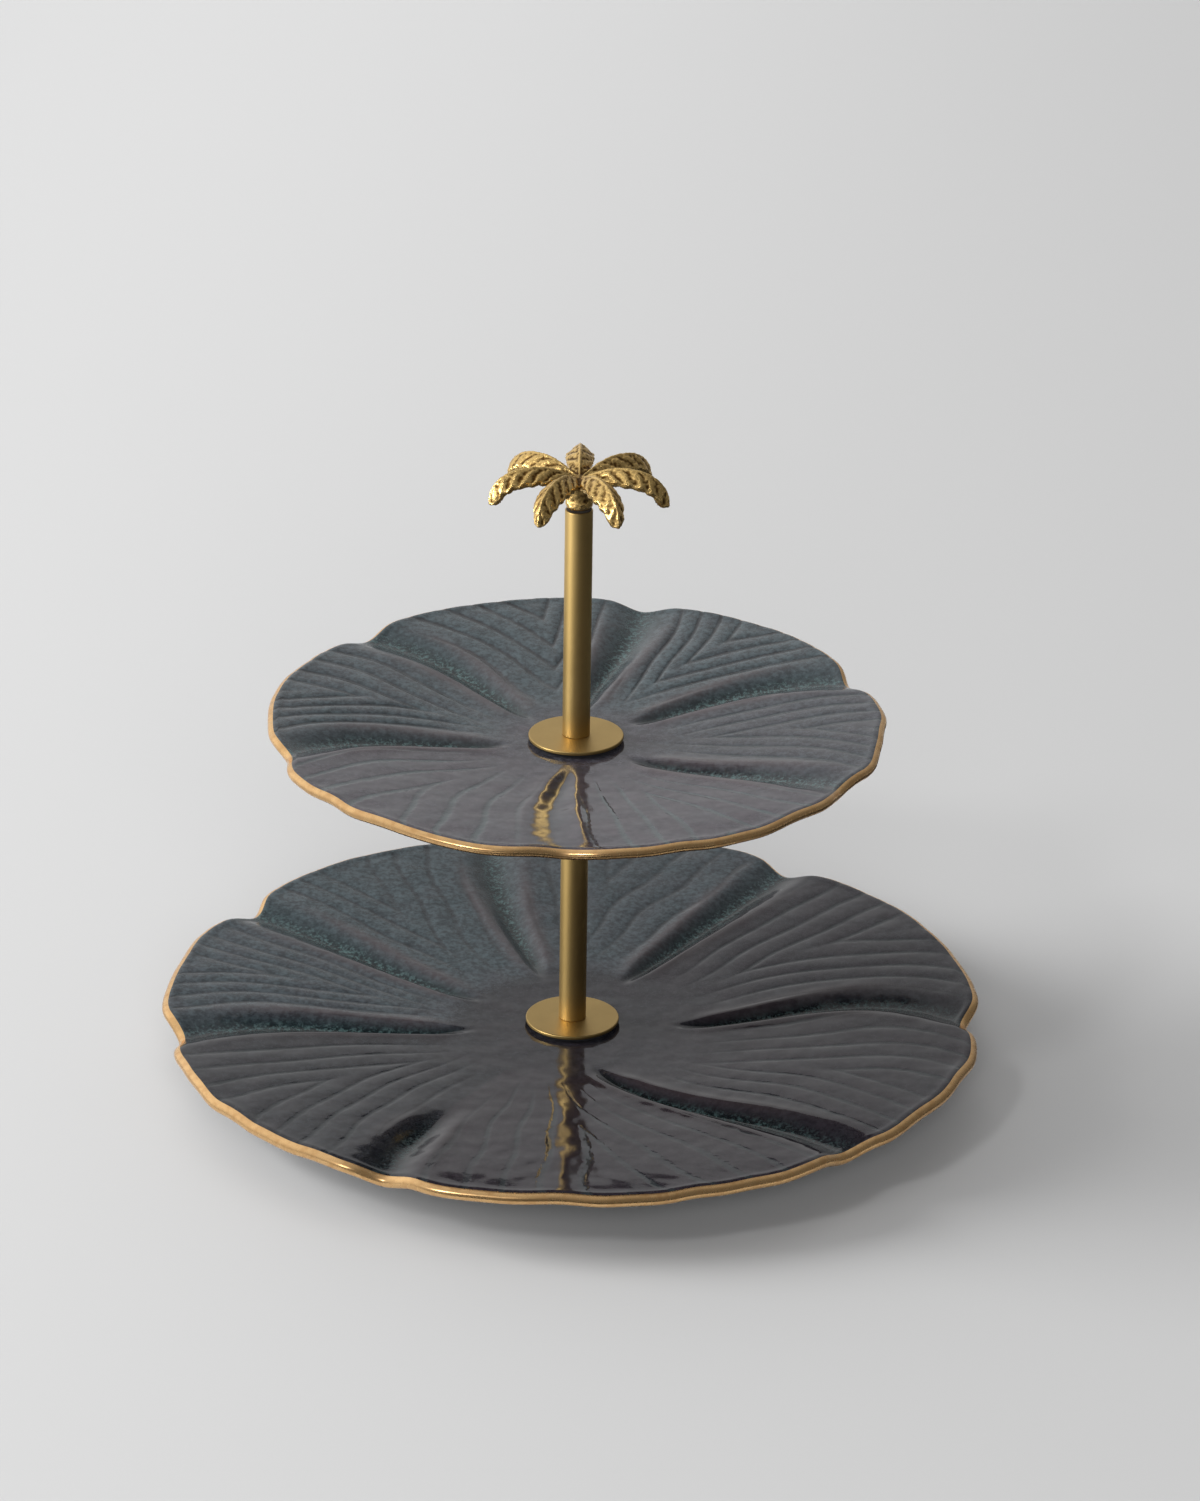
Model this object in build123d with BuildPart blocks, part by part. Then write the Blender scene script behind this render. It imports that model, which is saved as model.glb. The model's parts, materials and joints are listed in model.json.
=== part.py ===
from build123d import *
from dataclasses import dataclass
from math import cos, exp, pi, radians, sin
import os

os.makedirs("parts", exist_ok=True)

# A two-tier cake stand: two glazed petal plates clamped on one screwed post, under a cast palm finial.
# Millimetres, +Z up. Z = 0 is the surface that it stands on, and the post stands on the Z axis.
# Threads are plain cylinders: the same radius where a screw is fixed, THREAD_PLAY apart where it turns.

# ---- Driving dimensions ------------------------------------------------------------------------

THREAD_RADIUS = 2.5
THREAD_PLAY = 0.05
THREAD_DEPTH = 12.0
CLEAR_HOLE_RADIUS = 2.75
TIP_CHAMFER = 0.5

TUBE_RADIUS = 4.35
TUBE_BORE_RADIUS = 3.55
LOWER_TUBE_LENGTH = 90.3
UPPER_TUBE_LENGTH = 75.5
TUBE_EDGE = 0.25
INSERT_LENGTH = 13.5

DISC_RADIUS = 15.0
DISC_THICKNESS = 1.2
DISC_EDGE = 0.35
UNDER_DISC_RADIUS = 10.0
GASKET_THICKNESS = 1.0
GASKET_INSET = 1.2

SWIVEL_PLAY = 0.05
SWIVEL_HEAD_RADIUS = 4.6
SWIVEL_HEAD_HEIGHT = 0.8
SWIVEL_HEAD_ROOM = 0.6

SCREW_HEAD_RADIUS = 4.9
SCREW_HEAD_HEIGHT = 3.2
SCREW_HEAD_EDGE = 1.2
CROSS_SLOT_LENGTH = 5.2
CROSS_SLOT_WIDTH = 1.1
CROSS_SLOT_DEPTH = 1.8

WASHER_RADIUS = 3.9
WASHER_THICKNESS = 0.8

COLLAR_RADIUS = 4.2
COLLAR_HEIGHT = 8.5
CROWN_RADIUS = 4.6
STUD_SOCKET_DEPTH = 6.0
FROND_COUNT = 7
FROND_FIRST_ANGLE = 90.0
FROND_HALF_WIDTH = 4.4
FROND_ROOT_HALF_WIDTH = 1.7
FROND_TIP_HALF_WIDTH = 1.5
FROND_RIDGE = 0.7
FROND_EDGE_DROP = 0.85
FROND_UNDER_WIDTH = 0.85
FROND_RIDGE_THICKNESS = 2.1
FROND_EDGE_THICKNESS = 0.9
FROND_SECTIONS = 11

PLATE_HOLE_RADIUS = 3.5
SEAT_RADIUS = 17.0
FOOT_MARGIN = 4.0
FOOT_OVERLAP = 1.0
FOOT_CORNER = 0.3
VALLEY_INNER_HALF_WIDTH = 3.0
VALLEY_WIDENING = 3.6
NOTCH_HALF_WIDTH = 7.0
TOP_SHARES = (0.0, 0.06, 0.13, 0.22, 0.34, 0.48, 0.62, 0.76, 0.88, 0.96)
BEAD_ANGLES = (90.0, 50.0, 0.0, -50.0, -90.0)
UNDER_SHARES = (0.94, 0.8, 0.64, 0.46, 0.28, 0.12, 0.0)
OUTLINE_POINTS = 144


@dataclass
class PetalPlate:
    """A round plate pressed into petals, with a valley between each petal and the next."""

    centre_top: float
    centre_thickness: float
    rim_thickness: float
    rim_rise: float
    radius: float
    ovality: float
    skew: float
    valley_start: float
    valley_depth: float
    notch: float
    rim_dip: float
    foot_radius: float
    foot_width: float
    foot_height: float
    # One (rim angle, inner angle, sideways bow) in degrees for each valley, anticlockwise from +X.
    valleys: list


# ---- Heights, worked out from the table upwards --------------------------------------------------

FOOT_HEIGHT = 10.0
LOWER_THICKNESS = 5.0
UPPER_THICKNESS = 4.5
CLAMP_STACK = GASKET_THICKNESS + DISC_THICKNESS

lower_plate_top = FOOT_HEIGHT + LOWER_THICKNESS
lower_disc_bottom = lower_plate_top + GASKET_THICKNESS
lower_tube_bottom = lower_disc_bottom + DISC_THICKNESS
lower_tube_top = lower_tube_bottom + LOWER_TUBE_LENGTH
upper_plate_bottom = lower_tube_top + CLAMP_STACK
upper_plate_top = upper_plate_bottom + UPPER_THICKNESS
upper_disc_bottom = upper_plate_top + GASKET_THICKNESS
upper_tube_bottom = upper_disc_bottom + DISC_THICKNESS
upper_tube_top = upper_tube_bottom + UPPER_TUBE_LENGTH
finial_bottom = upper_tube_top + WASHER_THICKNESS
screw_head_top = FOOT_HEIGHT - CLAMP_STACK

LOWER = PetalPlate(
    centre_top=lower_plate_top,
    centre_thickness=LOWER_THICKNESS,
    rim_thickness=4.2,
    rim_rise=6.4,
    radius=132.2,
    ovality=0.3,
    skew=1.3,
    valley_start=36.0,
    valley_depth=3.0,
    notch=5.5,
    rim_dip=3.5,
    foot_radius=58.0,
    foot_width=6.0,
    foot_height=FOOT_HEIGHT,
    valleys=[
        (-2.5, -3.0, 9.5),
        (56.0, 60.0, -1.0),
        (103.0, 107.0, 1.5),
        (148.0, 154.0, -2.0),
        (190.5, 192.0, -4.0),
        (244.0, 240.0, -1.0),
        (312.0, 284.0, 8.0),
    ],
)

UPPER = PetalPlate(
    centre_top=upper_plate_top,
    centre_thickness=UPPER_THICKNESS,
    rim_thickness=3.5,
    rim_rise=7.2,
    radius=99.6,
    ovality=2.4,
    skew=0.4,
    valley_start=24.0,
    valley_depth=2.6,
    notch=4.5,
    rim_dip=3.0,
    foot_radius=40.0,
    foot_width=5.0,
    foot_height=6.0,
    valleys=[
        (22.0, 37.0, 3.0),
        (77.5, 86.0, -3.5),
        (136.0, 130.0, -4.0),
        (198.0, 191.0, -6.0),
        (265.0, 264.0, -1.0),
        (329.5, 321.0, 4.0),
    ],
)


# ---- The petal surface ---------------------------------------------------------------------------


def ease(start, end, value):
    """0 before start and 1 after end, with a smooth rise between them."""
    t = min(max((value - start) / (end - start), 0.0), 1.0)
    return t * t * (3.0 - 2.0 * t)


def half_turn(angle):
    """The angle as -180 to 180 degrees."""
    return (angle + 180.0) % 360.0 - 180.0


def valley_distance(plate, radius, angle):
    """Distance along the circle of this radius to the nearest valley line."""
    t = min(max((radius - plate.valley_start) / (plate.radius - plate.valley_start), 0.0), 1.0)
    nearest = 180.0
    for rim_angle, inner_angle, bow in plate.valleys:
        line_angle = inner_angle + half_turn(rim_angle - inner_angle) * t + bow * sin(pi * t)
        nearest = min(nearest, abs(half_turn(angle - line_angle)))
    return radians(nearest) * radius


def tip_radius(plate, angle):
    """Radius of the rim, which draws in at each valley."""
    around = radians(angle)
    whole = plate.radius - plate.ovality * cos(2.0 * around) + plate.skew * sin(around)
    distance = valley_distance(plate, plate.radius, angle)
    return whole - plate.notch * exp(-((distance / NOTCH_HALF_WIDTH) ** 2))


def surface_drop(plate, radius, angle):
    """How far a valley lowers the surface here."""
    t = (radius - plate.valley_start) / (plate.radius - plate.valley_start)
    half_width = VALLEY_INNER_HALF_WIDTH + VALLEY_WIDENING * min(max(t, 0.0), 1.0)
    distance = valley_distance(plate, radius, angle)
    depth = plate.valley_depth * ease(-0.06, 0.1, t)
    rim_extra = (plate.rim_dip - plate.valley_depth) * ease(0.75, 1.0, t)
    return (depth + rim_extra) * exp(-((distance / half_width) ** 2))


def ring_line(plate, nominal, share, height, fall):
    """A closed line round the plate. nominal is its radius before the outline's waves, height is its level
    before the valleys, and fall is how much of the valleys it follows."""
    points = []
    for step in range(OUTLINE_POINTS):
        angle = 360.0 * step / OUTLINE_POINTS
        around = radians(angle)
        reach = nominal + (tip_radius(plate, angle) - plate.radius) * ease(0.4, 1.0, share)
        level = height - fall * surface_drop(plate, nominal, angle)
        points.append((reach * cos(around), reach * sin(around), level))
    with BuildLine() as ring:
        Spline(*points, periodic=True)
    return ring.wire()


def top_ring(plate, share):
    """A ring on the top, where share is 0 at the flat seat and 1 at the rim."""
    nominal = SEAT_RADIUS + (plate.radius - SEAT_RADIUS) * share
    dish = plate.rim_rise * ease(0.0, 1.15, share) / ease(0.0, 1.15, 1.0)
    return ring_line(plate, nominal, share, plate.centre_top + dish, 1.0)


def bead_ring(plate, bead_angle):
    """A ring on the rounded rim, from 90 degrees on the top to -90 degrees underneath."""
    bead_radius = plate.rim_thickness / 2.0
    bead = radians(bead_angle)
    nominal = plate.radius - bead_radius * (1.0 - cos(bead))
    height = plate.centre_top + plate.rim_rise - bead_radius * (1.0 - sin(bead))
    return ring_line(plate, nominal, 1.0, height, 1.0)


def under_ring(plate, share):
    """A ring on the underside, where share is 0 at the flat pad inside the foot and 1 at the rim."""
    pad_radius = plate.foot_radius + plate.foot_width / 2.0 + FOOT_MARGIN
    pad_height = plate.centre_top - plate.centre_thickness
    rim_height = plate.centre_top + plate.rim_rise - plate.rim_thickness
    nominal = pad_radius + (plate.radius - pad_radius) * share
    height = pad_height + (rim_height - pad_height) * sin(pi / 2.0 * share)
    return ring_line(plate, nominal, share, height, ease(0.0, 0.6, share))


def petal_plate(plate, label):
    """The body is one smooth skin over rings that run out over the top, round the rim and back underneath.
    It stands on a foot ring and is bored for the screw."""
    rings = [top_ring(plate, share) for share in TOP_SHARES]
    rings += [bead_ring(plate, bead_angle) for bead_angle in BEAD_ANGLES]
    rings += [under_ring(plate, share) for share in UNDER_SHARES]
    underside = plate.centre_top - plate.centre_thickness
    with BuildPart() as body:
        add(Solid.make_loft(rings))
        with BuildSketch(Plane.XZ) as foot:
            with Locations((plate.foot_radius, underside - plate.foot_height)):
                foot_height = plate.foot_height + FOOT_OVERLAP
                Rectangle(plate.foot_width, foot_height, align=(Align.CENTER, Align.MIN))
            bottom_corners = foot.vertices().group_by(Axis.Y)[0]
            fillet(bottom_corners, plate.foot_width * FOOT_CORNER)
        revolve(axis=Axis.Z)
        with BuildSketch(Plane.XY.offset(underside)):
            Circle(PLATE_HOLE_RADIUS)
        extrude(amount=plate.centre_thickness, mode=Mode.SUBTRACT)
    body.part.label = label
    export_step(body.part, f"parts/{label}.step")
    return body.part


lower_plate = petal_plate(LOWER, "lower_plate")
upper_plate = petal_plate(UPPER, "upper_plate")


# ---- Round hardware ------------------------------------------------------------------------------


def round_piece(label, bottom, height, radius, hole_radius, edge=0.0):
    """A ring or disc on the post, with its outer edges rounded."""
    with BuildPart() as piece:
        with BuildSketch(Plane.XY.offset(bottom)):
            Circle(radius)
            Circle(hole_radius, mode=Mode.SUBTRACT)
        extrude(amount=height)
        if edge:
            outer_edges = piece.edges().filter_by(GeomType.CIRCLE).group_by(SortBy.RADIUS)[-1]
            fillet(outer_edges, edge)
    piece.part.label = label
    export_step(piece.part, f"parts/{label}.step")
    return piece.part


def swivel_insert(label, disc_bottom):
    """Threaded bush in the bottom of a tube. Its head holds the disc on, and leaves it free to turn."""
    shank_bottom = disc_bottom - SWIVEL_PLAY
    with BuildPart() as insert:
        with BuildSketch(Plane.XY.offset(shank_bottom - SWIVEL_HEAD_HEIGHT)):
            Circle(SWIVEL_HEAD_RADIUS)
        extrude(amount=SWIVEL_HEAD_HEIGHT)
        with BuildSketch(Plane.XY.offset(shank_bottom)):
            Circle(TUBE_BORE_RADIUS)
        extrude(amount=SWIVEL_PLAY + DISC_THICKNESS + INSERT_LENGTH)
        with BuildSketch(Plane.XY.offset(shank_bottom - SWIVEL_HEAD_HEIGHT)):
            Circle(THREAD_RADIUS + THREAD_PLAY)
        extrude(amount=SWIVEL_HEAD_HEIGHT + SWIVEL_PLAY + DISC_THICKNESS + INSERT_LENGTH, mode=Mode.SUBTRACT)
    insert.part.label = label
    export_step(insert.part, f"parts/{label}.step")
    return insert.part


def stud(label, bottom, top):
    """A length of screw with both ends chamfered."""
    with BuildPart() as rod:
        with BuildSketch(Plane.XY.offset(bottom)):
            Circle(THREAD_RADIUS)
        extrude(amount=top - bottom)
        chamfer(rod.edges().filter_by(GeomType.CIRCLE), TIP_CHAMFER)
    rod.part.label = label
    export_step(rod.part, f"parts/{label}.step")
    return rod.part


swivel_hole_radius = TUBE_BORE_RADIUS + SWIVEL_PLAY
swivel_room_radius = SWIVEL_HEAD_RADIUS + SWIVEL_HEAD_ROOM
gasket_radius = DISC_RADIUS - GASKET_INSET
under_gasket_radius = UNDER_DISC_RADIUS - GASKET_INSET / 2.0
disc = (DISC_THICKNESS, DISC_RADIUS)
gasket = (GASKET_THICKNESS, gasket_radius)
tube_wall = (TUBE_RADIUS, TUBE_BORE_RADIUS, TUBE_EDGE)

# Under the lower plate: the screw's washer and its gasket.
base_washer_bottom = screw_head_top
base_gasket_bottom = base_washer_bottom + DISC_THICKNESS
base_washer = round_piece("base_washer", base_washer_bottom, *disc, CLEAR_HOLE_RADIUS, DISC_EDGE)
base_gasket = round_piece("base_gasket", base_gasket_bottom, *gasket, CLEAR_HOLE_RADIUS)

# Between the tiers.
lower_gasket = round_piece("lower_gasket", lower_plate_top, *gasket, swivel_room_radius)
lower_disc = round_piece("lower_disc", lower_disc_bottom, *disc, swivel_hole_radius, DISC_EDGE)
lower_tube = round_piece("lower_tube", lower_tube_bottom, LOWER_TUBE_LENGTH, *tube_wall)
lower_swivel_insert = swivel_insert("lower_swivel_insert", lower_disc_bottom)
lower_top_insert = round_piece(
    "lower_top_insert", lower_tube_top - INSERT_LENGTH, INSERT_LENGTH, TUBE_BORE_RADIUS, THREAD_RADIUS
)

# Under the upper plate: the disc that the plate rests on and its gasket.
under_disc = round_piece(
    "under_disc", lower_tube_top, DISC_THICKNESS, UNDER_DISC_RADIUS, CLEAR_HOLE_RADIUS, DISC_EDGE
)
under_gasket_bottom = lower_tube_top + DISC_THICKNESS
under_gasket = round_piece(
    "under_gasket", under_gasket_bottom, GASKET_THICKNESS, under_gasket_radius, CLEAR_HOLE_RADIUS
)

# Over the upper plate.
upper_gasket = round_piece("upper_gasket", upper_plate_top, *gasket, swivel_room_radius)
upper_disc = round_piece("upper_disc", upper_disc_bottom, *disc, swivel_hole_radius, DISC_EDGE)
upper_tube = round_piece("upper_tube", upper_tube_bottom, UPPER_TUBE_LENGTH, *tube_wall)
upper_swivel_insert = swivel_insert("upper_swivel_insert", upper_disc_bottom)
upper_top_insert = round_piece(
    "upper_top_insert",
    upper_tube_top - INSERT_LENGTH,
    INSERT_LENGTH,
    TUBE_BORE_RADIUS,
    THREAD_RADIUS + THREAD_PLAY,
)

# The stud that joins the tubes stays in the lower one, and the upper one screws down onto it.
joining_stud = stud("joining_stud", lower_tube_top - THREAD_DEPTH, upper_tube_bottom + THREAD_DEPTH)


# ---- Base screw ----------------------------------------------------------------------------------

with BuildPart() as base_screw:
    with BuildSketch(Plane.XY.offset(screw_head_top - SCREW_HEAD_HEIGHT)):
        Circle(SCREW_HEAD_RADIUS)
    extrude(amount=SCREW_HEAD_HEIGHT)
    fillet(base_screw.edges().sort_by(Axis.Z)[0], SCREW_HEAD_EDGE)
    with BuildSketch(Plane.XY.offset(screw_head_top)):
        Circle(THREAD_RADIUS)
    extrude(amount=lower_tube_bottom + THREAD_DEPTH - screw_head_top)
    chamfer(base_screw.edges().sort_by(Axis.Z)[-1], TIP_CHAMFER)
    with BuildSketch(Plane.XY.offset(screw_head_top - SCREW_HEAD_HEIGHT)):
        Rectangle(CROSS_SLOT_LENGTH, CROSS_SLOT_WIDTH)
        Rectangle(CROSS_SLOT_WIDTH, CROSS_SLOT_LENGTH)
    extrude(amount=CROSS_SLOT_DEPTH, mode=Mode.SUBTRACT)
base_screw.part.label = "base_screw"
export_step(base_screw.part, "parts/base_screw.step")


# ---- Palm finial ---------------------------------------------------------------------------------

finial_washer = round_piece(
    "finial_washer", upper_tube_top, WASHER_THICKNESS, WASHER_RADIUS, THREAD_RADIUS + THREAD_PLAY
)
stud_socket_top = finial_bottom + STUD_SOCKET_DEPTH
finial_stud = stud("finial_stud", upper_tube_top - THREAD_DEPTH, stud_socket_top)

# The line of a frond's midrib, out from the crown and down to the tip.
with BuildLine(Plane.XZ) as midrib:
    Spline(
        (1.2, finial_bottom + 8.2),
        (9.0, finial_bottom + 12.0),
        (17.0, finial_bottom + 12.9),
        (24.0, finial_bottom + 10.0),
        (27.8, finial_bottom + 2.4),
    )


def frond_half_width(share):
    """Half the width of a frond: a narrow root, a full middle and a blunt tip."""
    root = FROND_ROOT_HALF_WIDTH
    if share < 0.5:
        return root + (FROND_HALF_WIDTH - root) * sin(pi * share)
    tip = FROND_TIP_HALF_WIDTH
    return tip + (FROND_HALF_WIDTH - tip) * cos(pi * (share - 0.5)) ** 0.8


with BuildPart() as frond:
    for step in range(FROND_SECTIONS):
        share = step / (FROND_SECTIONS - 1)
        half_width = frond_half_width(share)
        edge = -half_width * FROND_EDGE_DROP
        under_width = half_width * FROND_UNDER_WIDTH
        under_edge = edge - FROND_EDGE_THICKNESS
        section_plane = Plane(midrib.line @ share, x_dir=(0, 1, 0), z_dir=midrib.line % share)
        with BuildSketch(section_plane):
            with BuildLine():
                Polyline(
                    (0, FROND_RIDGE),
                    (half_width, edge),
                    (under_width, under_edge),
                    (0, FROND_RIDGE - FROND_RIDGE_THICKNESS),
                    (-under_width, under_edge),
                    (-half_width, edge),
                    close=True,
                )
            make_face()
    loft(ruled=True)

with BuildPart() as finial_palm:
    with BuildSketch(Plane.XZ) as trunk:
        with BuildLine():
            Line((0, finial_bottom), (COLLAR_RADIUS - 0.4, finial_bottom))
            Spline(
                (COLLAR_RADIUS - 0.4, finial_bottom),
                (COLLAR_RADIUS, finial_bottom + COLLAR_HEIGHT * 0.4),
                (CROWN_RADIUS, finial_bottom + COLLAR_HEIGHT * 0.75),
                (CROWN_RADIUS * 0.7, finial_bottom + COLLAR_HEIGHT * 1.05),
                (0, finial_bottom + COLLAR_HEIGHT * 1.08),
            )
            Line((0, finial_bottom + COLLAR_HEIGHT * 1.08), (0, finial_bottom))
        make_face()
    revolve(axis=Axis.Z)
    with PolarLocations(0, FROND_COUNT, start_angle=FROND_FIRST_ANGLE):
        add(frond.part)
    with BuildSketch(Plane.XY.offset(finial_bottom)):
        Circle(THREAD_RADIUS)
    extrude(amount=stud_socket_top - finial_bottom, mode=Mode.SUBTRACT)
finial_palm.part.label = "finial_palm"
export_step(finial_palm.part, "parts/finial_palm.step")
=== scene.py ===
import json
from dataclasses import dataclass
from math import cos, pi, radians, sin

import bpy
import numpy as np
from mathutils import Euler, Matrix, Vector, noise


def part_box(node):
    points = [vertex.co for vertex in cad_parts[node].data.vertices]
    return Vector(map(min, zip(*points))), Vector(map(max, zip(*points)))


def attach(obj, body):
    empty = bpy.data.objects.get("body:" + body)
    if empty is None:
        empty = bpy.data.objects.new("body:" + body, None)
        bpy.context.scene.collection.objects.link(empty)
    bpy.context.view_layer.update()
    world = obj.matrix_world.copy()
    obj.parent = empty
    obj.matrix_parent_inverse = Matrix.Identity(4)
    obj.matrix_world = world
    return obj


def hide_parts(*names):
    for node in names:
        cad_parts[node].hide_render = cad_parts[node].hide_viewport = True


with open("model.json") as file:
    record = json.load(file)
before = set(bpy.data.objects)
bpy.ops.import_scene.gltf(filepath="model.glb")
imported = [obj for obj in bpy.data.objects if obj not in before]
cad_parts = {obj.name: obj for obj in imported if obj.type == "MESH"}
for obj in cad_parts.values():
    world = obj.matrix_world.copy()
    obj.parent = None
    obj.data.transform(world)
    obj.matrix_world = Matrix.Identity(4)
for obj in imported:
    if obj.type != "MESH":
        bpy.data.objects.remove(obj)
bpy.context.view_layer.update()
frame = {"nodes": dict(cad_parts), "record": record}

# The looks of a two-tier cake stand. Blender's unit is the metre; the plate and palm formulas work in millimetres.
MM = 0.001


# ---- Camera, floor and light ---------------------------------------------------------------------

CAMERA_PLACE = (0.0076, -1.4444, 0.7400)
CAMERA_PITCH = 23.54
CAMERA_ROLL = 0.88
CAMERA_LENS = 119.9
FLOOR_HALF = 12.0
# The floor's colour, with a painted falloff of light: brighter towards the window and dimmer away from it. Where
# it changes, in metres along the direction that points to the window.
FLOOR_PAINTED_DIM = (0.585, 0.585, 0.585)
FLOOR_PAINTED_BRIGHT = (0.78, 0.78, 0.78)
FLOOR_TO_WINDOW = (-1.0, 0.15, 0.0)
FLOOR_PAINTED_DIM_AT = -0.35
FLOOR_PAINTED_BRIGHT_AT = 0.50
# Two wide lights: the direction that each comes from, and its strength. Both are this many degrees across.
KEY_FROM = (-2.75, 0.25, 1.30)
KEY_STRENGTH = 2.60
FILL_FROM = (0.1, -2.70, 1.15)
FILL_STRENGTH = 1.35
SUN_WIDTH = 32.0
# The studio's walls and ceiling, by how nearly a direction points at the bright side: from 0, straight away, to 1.
BRIGHT_SIDE = (-0.70, 0.56, 0.44)
WALL_DARKEST = (0.20, (0.13, 0.13, 0.132, 1.0))
WALL_BRIGHTEST = (1.0, (1.05, 1.05, 1.05, 1.0))
WALL_GREYS = ((0.50, 0.15), (0.72, 0.40), (0.82, 0.59), (0.93, 0.80))
# A small light for the highlights, and a strip for the gold parts only. Both point at the middle of the stand.
AIM = (0.0, 0.0, 0.1)
KICKER_PLACE = (-1.30, -1.43, 1.74)
KICKER_SIZE = 0.3
KICKER_POWER = 8.5
STRIP_PLACE = (-2.4, -0.95, 0.35)
STRIP_WIDTH = 0.6
STRIP_HEIGHT = 1.2
STRIP_POWER = 80.0
# Cards that lie just above the floor and show only in reflections, as painted reflections: a glowing one at the
# left, dark ones at the front and right. As name, x0, y0, x1, y1 and glow.
CARDS = (
    ("glowing_reflection_card_left", -1.6, -0.9, -0.17, 0.12, 0.5),
    ("dark_reflection_card_front", -0.13, -1.6, 1.6, -0.16, 0.0),
    ("dark_reflection_card_right", 0.17, -0.16, 1.6, 0.7, 0.0),
)
CARD_HEIGHT = 0.002
CARD_SHADE = (0.05, 0.05, 0.05)


def new_object(name, data):
    thing = bpy.data.objects.new(name, data)
    bpy.context.scene.collection.objects.link(thing)
    return thing


def make_camera():
    lens = bpy.data.cameras.new("camera")
    lens.lens = CAMERA_LENS
    lens.clip_end = 100.0
    camera = new_object("camera", lens)
    tilt = Euler((radians(90.0 - CAMERA_PITCH), 0.0, 0.0)).to_matrix()
    roll = Matrix.Rotation(radians(CAMERA_ROLL), 3, "Z")
    camera.matrix_world = Matrix.Translation(CAMERA_PLACE) @ (tilt @ roll).to_4x4()
    bpy.context.scene.camera = camera


def area_light(name, place, width, height, power):
    lamp = bpy.data.lights.new(name, "AREA")
    lamp.shape = "RECTANGLE"
    lamp.size = width
    lamp.size_y = height
    lamp.energy = power
    light = new_object(name, lamp)
    light.location = place
    light.rotation_euler = (Vector(AIM) - Vector(place)).to_track_quat("-Z", "Y").to_euler()
    light.visible_camera = False
    return light


def wide_sun(name, source, strength):
    """Light from a wide, distant panel. It lights the floor and the matt surfaces but has no reflection."""
    lamp = bpy.data.lights.new(name, "SUN")
    lamp.energy = strength
    lamp.angle = radians(SUN_WIDTH)
    sun = new_object(name, lamp)
    sun.rotation_euler = Vector(source).to_track_quat("Z", "Y").to_euler()
    sun.visible_glossy = False


def metal_strip(pieces):
    """A tall strip light at the left that only the gold parts catch, for the bright line down each tube."""
    strip = area_light("metal_strip", STRIP_PLACE, STRIP_WIDTH, STRIP_HEIGHT, STRIP_POWER)
    metal = bpy.data.collections.new("metal")
    for piece in pieces:
        metal.objects.link(piece)
    strip.light_linking.receiver_collection = metal


def make_world():
    """A pale studio: bright to the left and behind, dim to the right and in front."""
    world = bpy.data.worlds.new("studio")
    bpy.context.scene.world = world
    world.use_nodes = True
    nodes, links = world.node_tree.nodes, world.node_tree.links
    direction = nodes.new("ShaderNodeTexCoord")
    facing = nodes.new("ShaderNodeVectorMath")
    facing.operation = "DOT_PRODUCT"
    facing.inputs[1].default_value = Vector(BRIGHT_SIDE).normalized()
    shift = nodes.new("ShaderNodeMapRange")
    shift.inputs["From Min"].default_value = -1.0
    ramp = nodes.new("ShaderNodeValToRGB")
    links.new(direction.outputs["Generated"], facing.inputs[0])
    links.new(facing.outputs["Value"], shift.inputs["Value"])
    links.new(shift.outputs["Result"], ramp.inputs["Fac"])
    links.new(ramp.outputs["Color"], nodes["Background"].inputs["Color"])
    stops = ramp.color_ramp.elements
    stops[0].position, stops[0].color = WALL_DARKEST
    stops[1].position, stops[1].color = WALL_BRIGHTEST
    for position, grey in WALL_GREYS:
        stops.new(position).color = (grey, grey, grey, 1.0)


def level_sheet(name, x0, y0, x1, y1, height):
    """A flat sheet parallel to the floor, as a mesh."""
    corners = [(x0, y0, height), (x1, y0, height), (x1, y1, height), (x0, y1, height)]
    mesh = bpy.data.meshes.new(name)
    mesh.from_pydata(corners, [], [(0, 1, 2, 3)])
    return mesh


def glossy_card(name, x0, y0, x1, y1, glow):
    """A card on the floor that only shows in reflections, as a photographer sets beside a shiny object: a painted
    reflection, bright where the card glows and dark where it doesn't.
    """
    mesh = level_sheet(name, x0, y0, x1, y1, CARD_HEIGHT)
    material, shader = new_material(name, CARD_SHADE, roughness=1.0)
    shader.inputs["Specular IOR Level"].default_value = 0.0
    shader.inputs["Emission Color"].default_value = (1.0, 1.0, 1.0, 1.0)
    shader.inputs["Emission Strength"].default_value = glow
    mesh.materials.append(material)
    card = new_object(name, mesh)
    card.visible_camera = False
    card.visible_diffuse = False
    card.visible_shadow = False
    card.visible_transmission = False


def make_floor():
    """Matt paper, painted a little brighter towards the window: a painted falloff of light."""
    mesh = level_sheet("floor", -FLOOR_HALF, -FLOOR_HALF, FLOOR_HALF, FLOOR_HALF, 0.0)
    floor = new_object("floor", mesh)
    material, shader = new_material("floor_paper_painted_falloff", FLOOR_PAINTED_BRIGHT, roughness=0.8)
    shader.inputs["Specular IOR Level"].default_value = 0.0
    n = Nodes(material)
    across = n.tree.nodes.new("ShaderNodeVectorMath")
    across.operation = "DOT_PRODUCT"
    across.inputs[1].default_value = FLOOR_TO_WINDOW
    n.put(n.place(), across.inputs[0])
    # painted light: the paper's colour grows brighter towards the window, as its light would
    painted_falloff = n.span(across.outputs["Value"], FLOOR_PAINTED_DIM_AT, FLOOR_PAINTED_BRIGHT_AT)
    n.put(n.mix(painted_falloff, FLOOR_PAINTED_DIM, FLOOR_PAINTED_BRIGHT), shader.inputs["Base Color"])
    mesh.materials.append(material)


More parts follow.
